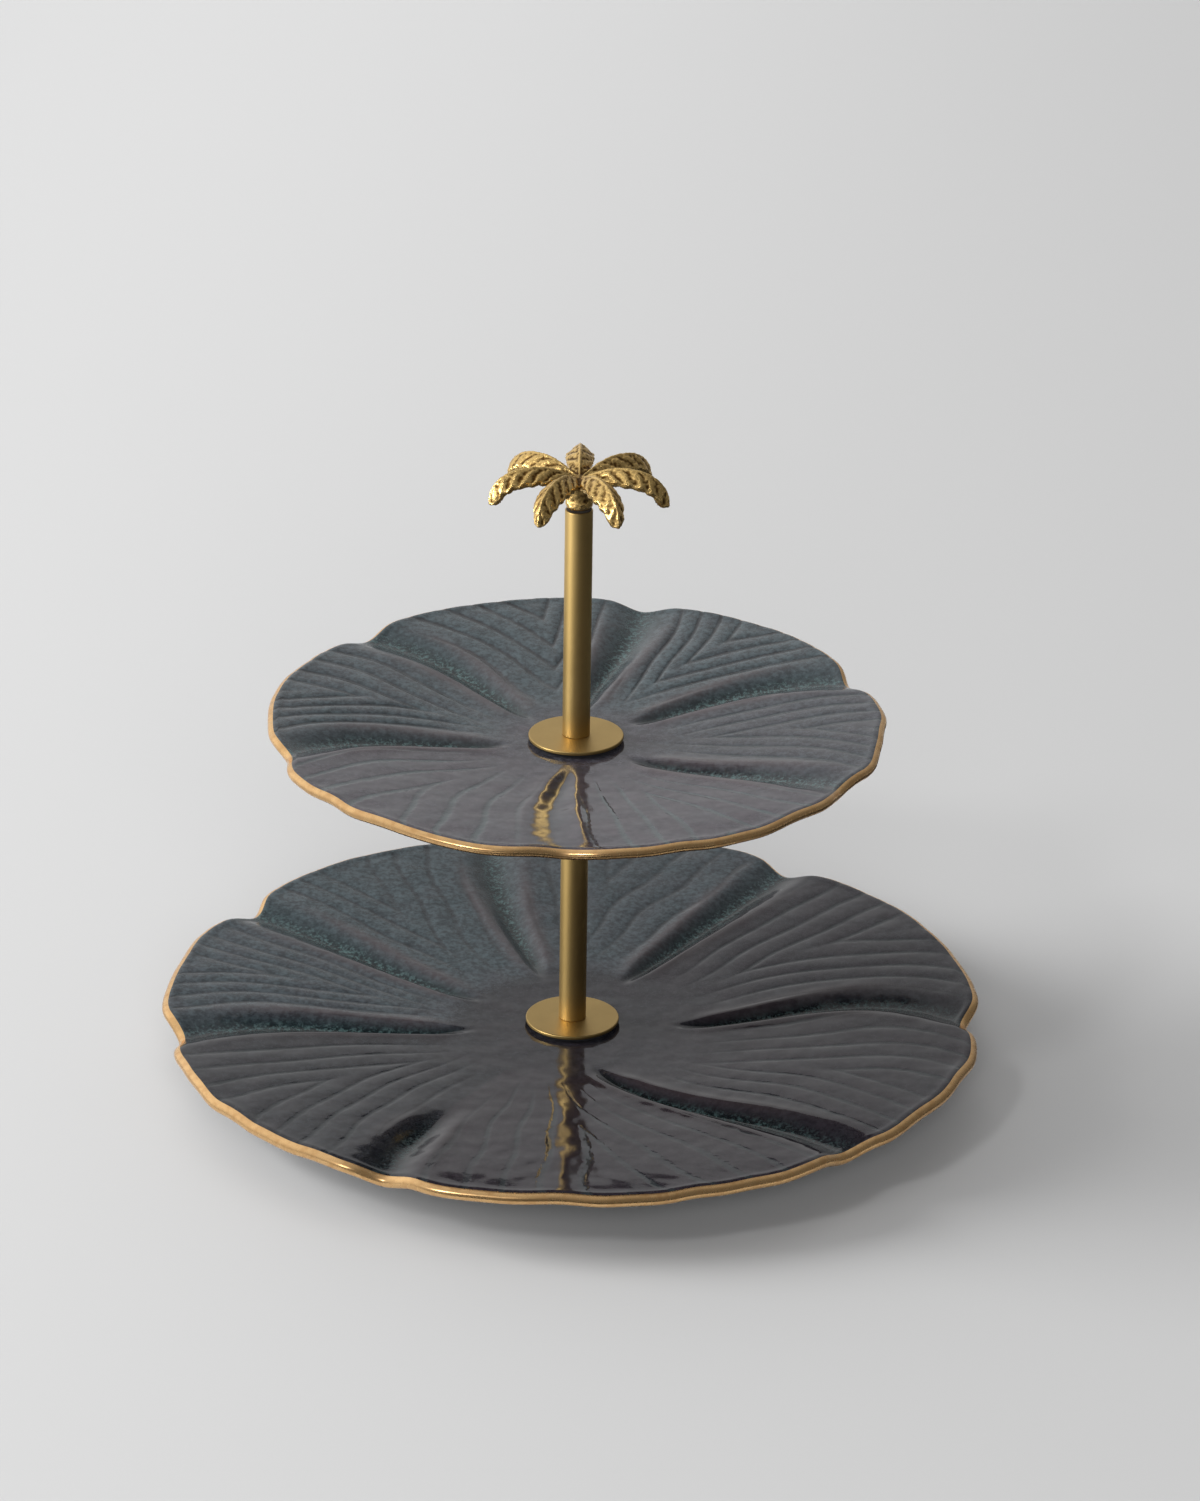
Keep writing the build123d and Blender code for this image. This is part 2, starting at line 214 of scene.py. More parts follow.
def light_the_studio():
    """Everything but the gold parts' strip, which needs the parts to be there."""
    make_world()
    make_floor()
    wide_sun("key", KEY_FROM, KEY_STRENGTH)
    wide_sun("fill", FILL_FROM, FILL_STRENGTH)
    area_light("kicker", KICKER_PLACE, KICKER_SIZE, KICKER_SIZE, KICKER_POWER)
    for card in CARDS:
        glossy_card(*card)


# ---- Materials -----------------------------------------------------------------------------------

# The glaze: its two shades of petal, the violet one partly a painted purple sheen, the veins on each, the pools in
# the valleys, whose near-black is partly painted shade, and the valleys' edges, whose brown is partly a painted
# highlight.
TEAL_DARK = (0.021, 0.030, 0.035)
TEAL_PALE = (0.066, 0.092, 0.104)
DUSK_AND_SHEEN_DARK = (0.036, 0.028, 0.037)
DUSK_AND_SHEEN_PALE = (0.066, 0.052, 0.066)
VEIN_ON_TEAL = (0.010, 0.008, 0.010)
VEIN_ON_DUSK = (0.065, 0.090, 0.095)
POOL_DARK_AND_SHADE = (0.003, 0.009, 0.010)
POOL_FLECK = (0.085, 0.150, 0.150)
CREST_BROWN_AND_HIGHLIGHT = (0.085, 0.062, 0.066)
BLACK = (0.0, 0.0, 0.0)
# The other finishes.
LUSTRE_BRIGHT = (0.88, 0.56, 0.26)
LUSTRE_THIN = (0.72, 0.42, 0.18)
CLAY_DARK = (0.50, 0.44, 0.36)
CLAY_PALE = (0.72, 0.66, 0.57)
SATIN_DARK = (0.50, 0.345, 0.125)
SATIN_PALE = (0.60, 0.42, 0.165)
CAST_HOLLOW = (0.13, 0.065, 0.016)
CAST_HIGH = (0.82, 0.56, 0.21)
ZINC_DARK = (0.50, 0.50, 0.49)
ZINC_PALE = (0.72, 0.72, 0.70)
RUBBER_BLACK = (0.012, 0.012, 0.013)
NYLON_BROWN = (0.020, 0.016, 0.012)
DUST_LIGHTENS = 1.9

def new_material(name, colour, metallic=0.0, roughness=0.5):
    """A Principled material, with the values that hold where its nodes don't say otherwise."""
    material = bpy.data.materials.new(name)
    material.use_nodes = True
    shader = material.node_tree.nodes["Principled BSDF"]
    shader.inputs["Base Color"].default_value = (*colour, 1.0)
    shader.inputs["Metallic"].default_value = metallic
    shader.inputs["Roughness"].default_value = roughness
    return material, shader


class Nodes:
    """Short calls for a material's node tree. A value may be a socket, a number or a colour."""

    def __init__(self, material):
        self.tree = material.node_tree

    def put(self, value, socket):
        if isinstance(value, bpy.types.NodeSocket):
            self.tree.links.new(value, socket)
        elif isinstance(value, tuple) and len(value) == 3 and socket.type == "RGBA":
            socket.default_value = (*value, 1.0)
        else:
            socket.default_value = value

    def place(self):
        return self.tree.nodes.new("ShaderNodeTexCoord").outputs["Object"]

    def attribute(self, name):
        node = self.tree.nodes.new("ShaderNodeAttribute")
        node.attribute_name = name
        return node.outputs["Fac"]

    def noise(self, scale, detail=3.0, rough=0.55):
        node = self.tree.nodes.new("ShaderNodeTexNoise")
        node.inputs["Scale"].default_value = scale
        node.inputs["Detail"].default_value = detail
        node.inputs["Roughness"].default_value = rough
        self.put(self.place(), node.inputs["Vector"])
        return node.outputs["Fac"]

    def math(self, operation, a, b=0.0, clamp=False):
        node = self.tree.nodes.new("ShaderNodeMath")
        node.operation = operation
        node.use_clamp = clamp
        self.put(a, node.inputs[0])
        self.put(b, node.inputs[1])
        return node.outputs[0]

    def times(self, a, b):
        return self.math("MULTIPLY", a, b)

    def span(self, value, low, high, to_low=0.0, to_high=1.0):
        """value from low..high to to_low..to_high, smoothly, and held at both ends."""
        node = self.tree.nodes.new("ShaderNodeMapRange")
        node.interpolation_type = "SMOOTHSTEP"
        self.put(value, node.inputs["Value"])
        node.inputs["From Min"].default_value = low
        node.inputs["From Max"].default_value = high
        node.inputs["To Min"].default_value = to_low
        node.inputs["To Max"].default_value = to_high
        return node.outputs["Result"]

    def mix(self, share, a, b):
        node = self.tree.nodes.new("ShaderNodeMix")
        node.data_type = "RGBA"
        self.put(share, node.inputs["Factor"])
        self.put(a, node.inputs["A"])
        self.put(b, node.inputs["B"])
        return node.outputs["Result"]

    def bump(self, height, distance, strength=1.0, normal=None):
        node = self.tree.nodes.new("ShaderNodeBump")
        node.inputs["Strength"].default_value = strength
        node.inputs["Distance"].default_value = distance
        self.put(height, node.inputs["Height"])
        if normal is not None:
            self.put(normal, node.inputs["Normal"])
        return node.outputs["Normal"]


def vein_lines(n):
    """1 along the middle of each vein and 0 between them, thicker and thinner along its length."""
    jitter = n.times(n.math("SUBTRACT", n.noise(420.0, 2.0), 0.5), 0.16)
    wave = n.math("PINGPONG", n.math("ADD", n.attribute("vein_phase"), jitter), 0.5)
    thick = n.span(n.noise(160.0, 2.0), 0.3, 0.7, 0.55, 1.0)
    return n.times(n.times(n.span(wave, 0.03, 0.15, 1.0, 0.0), n.attribute("veined")), thick)


def glaze_colour(n, line, flecks, lit_share, line_strength):
    """Teal or dusky violet petals with veins, blue-green pools in the valleys and brown on their edges. The violet
    is partly a painted purple sheen, the pools' near-black partly painted shade and the edges' brown partly a
    painted highlight.
    """
    violet_and_sheen = n.attribute("violet_and_sheen")
    mottled = n.span(n.noise(520.0, 5.0, 0.72), 0.36, 0.66)
    clouds = n.times(n.math("SUBTRACT", n.noise(110.0, 3.0, 0.5), 0.5), 0.7)
    tone = n.math("ADD", violet_and_sheen, clouds, clamp=True)
    # the violet tone: partly the glaze's colour and partly a painted purple sheen
    colour = n.mix(tone, n.mix(mottled, TEAL_DARK, TEAL_PALE), n.mix(mottled, DUSK_AND_SHEEN_DARK, DUSK_AND_SHEEN_PALE))
    colour = n.mix(n.times(line, line_strength), colour, n.mix(violet_and_sheen, VEIN_ON_TEAL, VEIN_ON_DUSK))
    # the valleys: near-black, partly the pooled glaze and partly painted shade, with the glaze's teal flecks on
    # their floors
    colour = n.mix(n.times(n.attribute("valley"), 0.9), colour, n.mix(flecks, POOL_DARK_AND_SHADE, POOL_FLECK))
    # the valleys' lips: brown glaze, lightened pinkish as a painted highlight
    colour = n.mix(n.times(n.attribute("crest"), 0.55), colour, CREST_BROWN_AND_HIGHLIGHT)
    # painted shade: where the given share is below 1, the violet petals are darkened towards black
    return n.mix(n.span(violet_and_sheen, 0.3, 0.6, 1.0, lit_share), BLACK, colour)


def glaze_material(name, lit_share, line_strength, ior):
    """Nearly black reactive glaze. The second argument is the violet petals' share of their full colour, the rest
    black: painted shade that darkens the lower plate's petals, under the upper plate. The lower plate also gets a
    lower ior, for a weaker reflection of the darker surroundings that it reflects.
    """
    material, shader = new_material(name, TEAL_DARK)
    n = Nodes(material)
    line = vein_lines(n)
    flecks = n.times(n.span(n.noise(760.0, 5.0, 0.75), 0.47, 0.60), n.attribute("valley_floor"))
    n.put(glaze_colour(n, line, flecks, lit_share, line_strength), shader.inputs["Base Color"])

    satin = n.times(n.math("SUBTRACT", 1.0, n.attribute("violet_and_sheen")), 0.14)
    shine = n.math("ADD", n.span(n.noise(260.0, 3.0), 0.35, 0.75, 0.03, 0.07), satin)
    n.put(n.math("ADD", shine, n.times(flecks, 0.25)), shader.inputs["Roughness"])

    ripple = n.bump(n.noise(95.0, 1.0), 0.0009, 0.6)
    pores = n.bump(n.noise(1900.0, 4.0, 0.65), 0.00003, 0.35, ripple)
    n.put(n.bump(n.times(line, -1.0), 0.00018, 0.6 * line_strength, pores), shader.inputs["Normal"])
    shader.inputs["IOR"].default_value = ior
    return material


def lustre_material():
    """Burnished gold lustre, brushed on by hand, a little thinner in places."""
    material, shader = new_material("gold_lustre", LUSTRE_BRIGHT, metallic=1.0)
    n = Nodes(material)
    strokes = n.noise(380.0, 4.0, 0.6)
    colour = n.mix(n.span(strokes, 0.35, 0.8), LUSTRE_BRIGHT, LUSTRE_THIN)
    n.put(colour, shader.inputs["Base Color"])
    n.put(n.span(strokes, 0.3, 0.8, 0.24, 0.36), shader.inputs["Roughness"])
    n.put(n.bump(n.noise(300.0, 2.0), 0.00004, 0.2), shader.inputs["Normal"])
    return material


def clay_material():
    """The bare, sanded clay under the foot ring."""
    material, shader = new_material("bare_clay", CLAY_PALE, roughness=0.85)
    n = Nodes(material)
    grit = n.noise(1500.0, 5.0, 0.7)
    n.put(n.mix(grit, CLAY_DARK, CLAY_PALE), shader.inputs["Base Color"])
    n.put(n.bump(grit, 0.00008, 0.6), shader.inputs["Normal"])
    return material


def satin_gold_material():
    """Satin gold plating on a finely bead-blasted tube or disc."""
    material, shader = new_material("satin_gold", SATIN_PALE, metallic=1.0)
    n = Nodes(material)
    grain = n.noise(4200.0, 3.0, 0.6)
    patches = n.noise(120.0)
    n.put(n.mix(patches, SATIN_DARK, SATIN_PALE), shader.inputs["Base Color"])
    n.put(n.span(grain, 0.25, 0.75, 0.41, 0.50), shader.inputs["Roughness"])
    n.put(n.bump(grain, 0.00002, 0.5), shader.inputs["Normal"])
    return material


def cast_gold_material():
    """Rough cast brass, dark in the hollows and bright on the high spots."""
    material, shader = new_material("cast_gold", CAST_HIGH, metallic=1.0)
    n = Nodes(material)
    grain = n.noise(1500.0, 5.0, 0.7)
    height = n.attribute("relief")
    raised = n.math("ADD", height, n.times(n.math("SUBTRACT", grain, 0.5), 0.8), clamp=True)
    colour = n.mix(n.span(raised, 0.2, 0.62), CAST_HOLLOW, CAST_HIGH)
    n.put(colour, shader.inputs["Base Color"])
    n.put(n.span(raised, 0.2, 0.8, 0.55, 0.24), shader.inputs["Roughness"])
    n.put(n.bump(grain, 0.00022, 0.7), shader.inputs["Normal"])
    return material


def zinc_material():
    """Bright zinc plate on the screws and studs, slightly streaked."""
    material, shader = new_material("zinc_steel", ZINC_PALE, metallic=1.0)
    n = Nodes(material)
    streaks = n.noise(900.0, 3.0, 0.6)
    n.put(n.mix(streaks, ZINC_DARK, ZINC_PALE), shader.inputs["Base Color"])
    n.put(n.span(streaks, 0.2, 0.8, 0.22, 0.42), shader.inputs["Roughness"])
    return material


def rubber_material(name, colour):
    """Matt rubber or nylon with a little dust."""
    material, shader = new_material(name, colour, roughness=0.7)
    n = Nodes(material)
    dust = n.noise(1300.0, 4.0, 0.6)
    lighter = tuple(channel * DUST_LIGHTENS for channel in colour)
    n.put(n.mix(dust, colour, lighter), shader.inputs["Base Color"])
    n.put(n.bump(dust, 0.00005, 0.5), shader.inputs["Normal"])
    return material


# ---- Petal plates --------------------------------------------------------------------------------


@dataclass
class Petal:
    """One petal and the valley on its clockwise side, which runs out from one angle to another.

    bow bends the valley sideways, in degrees. bands is the number of veins on each side of the line where they
    meet, middle moves that line off centre, chevron fans the veins out and relief is their depth. The violet
    value, from teal at 0, is the petal's dusky violet tone: partly the glaze's colour and partly a painted purple
    sheen.
    opens is where the valley starts, and share is its depth against the others'.
    """

    inner_angle: float
    rim_angle: float
    bow: float
    bands: int
    chevron: float
    middle: float
    relief: float
    violet_and_sheen: float
    opens: float = -0.10
    share: float = 1.0


@dataclass
class PetalPlate:
    """One plate's sizes in millimetres, with the nodes that it replaces and lies between."""

    node: str
    body: str
    seat_node: str
    under_node: str
    radius: float
    ovality: float
    skew: float
    rim_thickness: float
    rim_rise: float
    valley_start: float
    valley_depth: float
    notch: float
    rim_dip: float
    foot_radius: float
    foot_width: float
    groove: float
    petals: list


SEAT_RADIUS = 17.0
HOLE_RADIUS = 3.5
FOOT_MARGIN = 4.0
ANGLE_STEPS = 640
TOP_STEP = 1.25
UNDER_STEPS = 22
NOTCH_HALF_WIDTH = 11.0
# A valley's half-width where it starts, and what it gains on the way to the rim.
VALLEY_HALF_WIDTH = 4.6
VALLEY_WIDENING = 9.0
LIP_HALF_WIDTH = 2.6
LIP_HEIGHT = 0.5
PETAL_DOME = 0.9
# Veins are measured in bands: their grooves' half-width is a share of a band.
VEIN_SWELL = 0.8
VEIN_GROOVE = 0.10
# The raised line just inside the rim, and the unevenness of the rim's edge and height.
RIM_BEAD = 0.55
RIM_BEAD_INSET = 1.6
RIM_BEAD_HALF_WIDTH = 1.9
RIM_WAVE_OUT = 0.8
RIM_WAVE_UP = 0.45
# The violet value in the middle of the plate, where the petals meet: partly the glaze's colour and partly a
# painted purple sheen.
CENTRE_VIOLET_AND_SHEEN = 0.75
# The rim's nose, by the angle from level, and the part of it that has the gold lustre.
NOSE_ANGLES = (74, 58, 44, 32, 20, 8, -6, -20, -36, -52, -70, -90)
GILDED_TOP = 58
GILDED_BOTTOM = -80
# Places in a plate's list of finishes.
GLAZE = 0
LUSTRE = 1
CLAY = 2
# The fields that the glaze reads, with their values where the glaze is plain.
PLAIN = {"valley": 0.0, "valley_floor": 0.0, "crest": 0.0, "vein_phase": 0.5, "veined": 0.0, "violet_and_sheen": 0.5}

LOWER = PetalPlate(
    node="lower_plate",
    body="base",
    seat_node="lower_gasket",
    under_node="base_gasket",
    radius=132.2,
    ovality=0.3,
    skew=1.3,
    rim_thickness=4.2,
    rim_rise=6.4,
    valley_start=36.0,
    valley_depth=2.7,
    notch=4.6,
    rim_dip=2.6,
    foot_radius=58.0,
    foot_width=6.0,
    groove=0.35,
    petals=[
        Petal(-3.0, -2.5, 9.5, 6, 0.45, 0.0, 0.34, 0.75),
        Petal(60.0, 56.0, -1.0, 5, 0.55, 0.1, 0.32, 0.15),
        Petal(107.0, 103.0, 1.5, 5, 0.55, 0.1, 0.34, 0.0),
        Petal(154.0, 148.0, -2.0, 6, 0.50, 0.0, 0.42, 0.2),
        Petal(192.0, 190.5, -4.0, 6, 0.45, 0.0, 0.26, 0.6),
        Petal(240.0, 244.0, -1.0, 6, 0.30, 0.0, 0.06, 1.0, 0.62),
        Petal(284.0, 312.0, 8.0, 6, 0.40, -0.1, 0.18, 0.85),
    ],
)

UPPER = PetalPlate(
    node="upper_plate",
    body="upper_tier",
    seat_node="upper_gasket",
    under_node="under_gasket",
    radius=99.6,
    ovality=2.4,
    skew=0.4,
    rim_thickness=3.5,
    rim_rise=7.2,
    valley_start=24.0,
    valley_depth=2.3,
    notch=3.2,
    rim_dip=1.8,
    foot_radius=40.0,
    foot_width=5.0,
    groove=0.6,
    petals=[
        Petal(37.0, 22.0, 3.0, 6, 0.75, 0.1, 0.46, 0.05),
        Petal(86.0, 77.5, -3.5, 6, 0.83, -0.25, 0.50, 0.0),
        Petal(130.0, 136.0, -4.0, 6, 0.50, 0.1, 0.50, 0.15),
        Petal(191.0, 198.0, -6.0, 5, 0.35, 0.0, 0.10, 0.8),
        Petal(264.0, 268.0, -2.0, 5, 0.30, 0.0, 0.07, 0.85, -0.10, 0.42),
        Petal(321.0, 329.5, 4.0, 6, 0.45, 0.0, 0.26, 0.5),
    ],
)


def ease(start, end, value):
    """0 before start and 1 after end, with a smooth rise between them."""
    t = np.clip((value - start) / (end - start), 0.0, 1.0)
    return t * t * (3.0 - 2.0 * t)


def turned(angle):
    """The angle as -180 to 180 degrees."""
    return (angle + 180.0) % 360.0 - 180.0


def petal_fields(plate, radius, angle):
    """The distance to the nearest valley's line, the place along and across the petal, and the petal's values."""
    along = np.clip((radius - plate.valley_start) / (plate.radius - plate.valley_start), 0.0, 1.0)
    lines = []
    for petal in plate.petals:
        swing = turned(petal.rim_angle - petal.inner_angle)
        lines.append(petal.inner_angle + swing * along + petal.bow * np.sin(pi * along))
    names = ("across", "bands", "chevron", "relief", "violet_and_sheen", "opens", "share")
    fields = {name: np.zeros_like(radius) for name in names}
    distance = np.full_like(radius, 1e9)
    for index, petal in enumerate(plate.petals):
        start = lines[index]
        width = (lines[(index + 1) % len(lines)] - start) % 360.0
        offset = (angle - start) % 360.0
        inside = offset < width
        share = np.where(inside, offset / width, 0.0)
        side = 2.0 * share - 1.0 - petal.middle
        across = np.where(side < 0.0, -side / (1.0 + petal.middle), side / (1.0 - petal.middle))
        fields["across"] = np.where(inside, across, fields["across"])
        for name in ("bands", "chevron", "relief", "violet_and_sheen"):
            fields[name] = np.where(inside, getattr(petal, name), fields[name])
        gap = np.minimum(offset, width - offset)
        distance = np.where(inside, np.radians(gap) * radius, distance)
        following = plate.petals[(index + 1) % len(lines)]
        for name in ("opens", "share"):
            nearer = np.where(offset * 2.0 < width, getattr(petal, name), getattr(following, name))
            fields[name] = np.where(inside, nearer, fields[name])
    fields["along"] = along
    fields["distance"] = distance
    return fields


def tip_radius(plate, angle):
    """Radius of the rim, which draws in at each valley and waves with the veins."""
    rim = petal_fields(plate, np.full_like(angle, plate.radius), angle)
    around = np.radians(angle)
    whole = plate.radius - plate.ovality * np.cos(2.0 * around) + plate.skew * np.sin(around)
    notch = plate.notch * np.exp(-((rim["distance"] / NOTCH_HALF_WIDTH) ** 2))
    return whole - notch + RIM_WAVE_OUT * rim_waves(plate, angle, 0.0)


def rim_waves(plate, angle, phase):
    """Slow unevenness of the hand-pressed rim, within about 1 either way."""
    around = np.radians(angle)
    turns = plate.radius / 10.0
    slow = np.sin(round(turns * 0.9) * around + phase + 0.8 * np.sin(2.0 * around))
    middle = np.sin(round(turns * 1.6) * around + 1.9 * phase + np.sin(3.0 * around + 1.0))
    quick = np.sin(round(turns * 2.7) * around + 2.3 * phase + 1.4 * np.sin(5.0 * around))
    return 0.45 * slow + 0.35 * middle + 0.2 * quick


def valley_shape(plate, f, outward):
    """The valleys' half-width and depth, and how much each point lies in a valley, on its lip or on its floor."""
    reach = VALLEY_HALF_WIDTH + VALLEY_WIDENING * np.clip(outward, 0.0, 1.0) ** 1.3
    reach = reach * (0.6 + 0.4 * ease(-0.05, 0.12, outward))
    depth = plate.valley_depth * ease(-0.06, 0.10, outward) * (0.6 + 0.4 * ease(0.0, 0.35, outward))
    depth = depth + (plate.rim_dip - plate.valley_depth) * ease(0.75, 1.0, outward)
    opened = f["share"] * ease(f["opens"], f["opens"] + 0.35, outward + 0.25)
    near = np.clip(f["distance"] / reach, 0.0, 1.0)
    valley = (0.5 + 0.5 * np.cos(pi * near)) ** 1.2 * opened
    beside = np.exp(-(((f["distance"] - reach) / LIP_HALF_WIDTH) ** 2))
    lip = beside * ease(-0.02, 0.15, outward) * ease(1.0, 0.5, outward) * opened
    floor = np.exp(-((f["distance"] / (0.42 * reach)) ** 2)) * ease(0.0, 0.25, outward) * opened
    return reach, depth, valley, lip, floor


def vein_phase(f, radius, angle):
    """A number that is whole along the middle of each groove, with a little drift."""
    x = radius * np.cos(np.radians(angle))
    y = radius * np.sin(np.radians(angle))
    drift = 0.10 * np.sin(x * 0.11 + 1.3 * np.sin(y * 0.07)) + 0.07 * np.sin(y * 0.17 + x * 0.05)
    fan = f["chevron"] * (1.0 - f["along"])
    flow = f["across"] * (1.0 - fan) + fan
    return flow * f["bands"] + drift * ease(1.0, 0.7, f["across"])


def vein_relief(plate, phase):
    """Rounded bands with a fine groove between them."""
    to_line = np.abs(phase - np.round(phase))
    swell = np.sqrt(np.sin(pi * phase) ** 2 + 0.06) - 0.70
    return VEIN_SWELL * swell - plate.groove * np.exp(-((to_line / VEIN_GROOVE) ** 2))


def surface(plate, radius, angle):
    """The top of the petals: how far it stands above the plain dish, and the fields that colour it."""
    f = petal_fields(plate, radius, angle)
    outward = (radius - plate.valley_start) / (plate.radius - plate.valley_start)
    edge = plate.radius - radius
    reach, depth, valley, lip, valley_floor = valley_shape(plate, f, outward)
    phase = vein_phase(f, radius, angle)
    veined = ease(0.02, 0.40, outward) * ease(0.0, 5.0, f["distance"] - reach * 0.72)
    dome = PETAL_DOME * (1.0 - f["across"] ** 2) * f["along"]
    bead = RIM_BEAD * np.exp(-(((edge - RIM_BEAD_INSET) / RIM_BEAD_HALF_WIDTH) ** 2))
    bead = bead + RIM_WAVE_UP * rim_waves(plate, angle, 1.7) * ease(16.0, 2.0, edge)
    veins = f["relief"] * vein_relief(plate, phase) * veined * (1.0 - 0.75 * ease(9.0, 1.5, edge))
    height = dome + LIP_HEIGHT * lip - depth * valley + veins + bead
    fields = {
        "valley": valley * ease(-0.04, 0.05, outward) * (1.0 - 0.35 * ease(0.55, 1.0, outward)),
        "valley_floor": valley_floor,
        "crest": lip,
        "vein_phase": phase,
        "veined": veined,
        "violet_and_sheen": f["violet_and_sheen"] + (CENTRE_VIOLET_AND_SHEEN - f["violet_and_sheen"]) * ease(0.16, -0.12, outward),
    }
    return height, fields


class Skin:
    """Rings of points round a plate, each with its finish and the fields that colour it."""

    def __init__(self):
        self.angle = np.arange(ANGLE_STEPS) * 360.0 / ANGLE_STEPS
        self.rows = []
        self.finishes = []
        self.columns = {name: [] for name in PLAIN}

    def add(self, reach, height, fields=PLAIN, finish=GLAZE):
        """reach, height and each field are one number, or a number for every angle."""
        around = np.radians(self.angle)
        level = np.full(ANGLE_STEPS, height)
        self.rows.append(np.stack([reach * np.cos(around), reach * np.sin(around), level], axis=1))
        self.finishes.append(finish)
        for name, values in self.columns.items():
            values.append(np.full(ANGLE_STEPS, fields[name]))


def dish(plate, share):
    """Height of the plain dish above its seat, from the seat's edge at 0 to the rim at 1."""
    return plate.rim_rise * ease(0.0, 1.15, share) / ease(0.0, 1.15, 1.0)


def add_top(skin, plate, seat, pull):
    """From the hole over the seat and the petals to the rim's nose."""
    skin.add(HOLE_RADIUS, seat)
    nose_start = plate.radius - plate.rim_thickness
    steps = int((nose_start - SEAT_RADIUS) / TOP_STEP)
    for step in range(steps + 1):
        nominal = SEAT_RADIUS + (nose_start - SEAT_RADIUS) * step / steps
        share = (nominal - SEAT_RADIUS) / (plate.radius - SEAT_RADIUS)
        height, fields = surface(plate, np.full(ANGLE_STEPS, nominal), skin.angle)
        height = height * ease(0.0, 0.10, share)
        reach = nominal + pull * ease(0.4, 1.0, share)
        skin.add(reach, seat + dish(plate, share) + height, fields)


def add_nose(skin, plate, seat, pull):
    """Round the rim's nose, which is drawn out on top and round underneath."""
    rim_height, fields = surface(plate, np.full(ANGLE_STEPS, plate.radius), skin.angle)
    half = plate.rim_thickness / 2.0
    top_level = seat + dish(plate, 1.0) + rim_height
    for nose_angle in NOSE_ANGLES:
        nose = radians(nose_angle)
        length = plate.rim_thickness if nose_angle > 0 else half
        reach = plate.radius + pull - length * (1.0 - cos(nose))
        height = top_level - half * (1.0 - sin(nose))
        gilded = GILDED_BOTTOM < nose_angle <= GILDED_TOP
        skin.add(reach, height, fields, LUSTRE if gilded else GLAZE)


def add_underside(skin, plate, seat, pad, pull):
    """From the rim back underneath to the flat pad round the foot. It follows the petals less and less."""
    pad_radius = plate.foot_radius + plate.foot_width / 2.0 + FOOT_MARGIN
    rim_under = seat + plate.rim_rise - plate.rim_thickness
    under_start = plate.radius - plate.rim_thickness / 2.0
    for step in range(1, UNDER_STEPS + 1):
        share = 1.0 - step / UNDER_STEPS
        nominal = pad_radius + (under_start - pad_radius) * share
        height, _ = surface(plate, np.full(ANGLE_STEPS, nominal), skin.angle)
        level = pad + (rim_under - pad) * sin(pi / 2.0 * share)
        reach = nominal + pull * ease(0.3, 1.0, share)
        skin.add(reach, level + height * ease(0.0, 0.6, share))


def add_foot(skin, plate, pad, bottom):
    """Round the foot ring, whose sanded bottom is bare clay, and in to the hole."""
    outer = plate.foot_radius + plate.foot_width / 2.0
    inner = plate.foot_radius - plate.foot_width / 2.0
    corner = plate.foot_width * 0.3
    for reach, height, finish in (
        (outer + 1.6, pad, GLAZE),
        (outer + 0.5, pad - 0.5, GLAZE),
        (outer, pad - 1.6, GLAZE),
        (outer, bottom + corner, GLAZE),
        (outer - corner * 0.3, bottom + corner * 0.3, CLAY),
        (outer - corner, bottom, CLAY),
        (inner + corner, bottom, CLAY),
        (inner + corner * 0.3, bottom + corner * 0.3, GLAZE),
        (inner, bottom + corner, GLAZE),
        (inner, pad - 1.6, GLAZE),
        (inner - 0.5, pad - 0.5, GLAZE),
        (inner - 1.6, pad, GLAZE),
        (HOLE_RADIUS, pad, GLAZE),
    ):
        skin.add(reach, height, finish=finish)


def plate_mesh(plate):
    """One closed skin: out over the top, round the rim, back underneath, round the foot and up the hole."""
    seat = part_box(plate.seat_node)[0].z / MM
    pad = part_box(plate.under_node)[1].z / MM
    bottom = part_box(plate.node)[0].z / MM
    skin = Skin()
    pull = tip_radius(plate, skin.angle) - plate.radius
    add_top(skin, plate, seat, pull)
    add_nose(skin, plate, seat, pull)
    add_underside(skin, plate, seat, pad, pull)
    add_foot(skin, plate, pad, bottom)
    return closed_rings(plate.node + "_glazed", skin.rows, skin.finishes, skin.columns)


def closed_rings(name, rows, finishes, columns):
    """A mesh from rings of points that close on themselves, with one finish index per band of faces."""
    ring_count, point_count = len(rows), len(rows[0])
    points = np.concatenate(rows) * MM
    ring, step = np.meshgrid(np.arange(ring_count), np.arange(point_count), indexing="ij")
    next_ring, next_step = (ring + 1) % ring_count, (step + 1) % point_count
    quads = np.stack(
        [
            ring * point_count + step,
            next_ring * point_count + step,
            next_ring * point_count + next_step,
            ring * point_count + next_step,
        ],
        axis=-1,
    ).reshape(-1, 4)
    mesh = bpy.data.meshes.new(name)
    mesh.vertices.add(len(points))
    mesh.vertices.foreach_set("co", points.ravel())
    mesh.loops.add(quads.size)
    mesh.loops.foreach_set("vertex_index", quads.ravel())
    mesh.polygons.add(len(quads))
    mesh.polygons.foreach_set("loop_start", np.arange(len(quads)) * 4)
    mesh.polygons.foreach_set("material_index", np.repeat(finishes, point_count))
    mesh.polygons.foreach_set("use_smooth", np.ones(len(quads), bool))
    mesh.update(calc_edges=True)
    for field, values in columns.items():
        attribute = mesh.attributes.new(field, "FLOAT", "POINT")
        attribute.data.foreach_set("value", np.concatenate(values).astype(np.float32))
    return mesh


def make_plate(plate, finishes):
    mesh = plate_mesh(plate)
    for material in finishes:
        mesh.materials.append(material)
    piece = new_object(plate.node + "_glazed", mesh)
    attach(piece, plate.body)
    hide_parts(plate.node)


# ---- Palm finial ---------------------------------------------------------------------------------

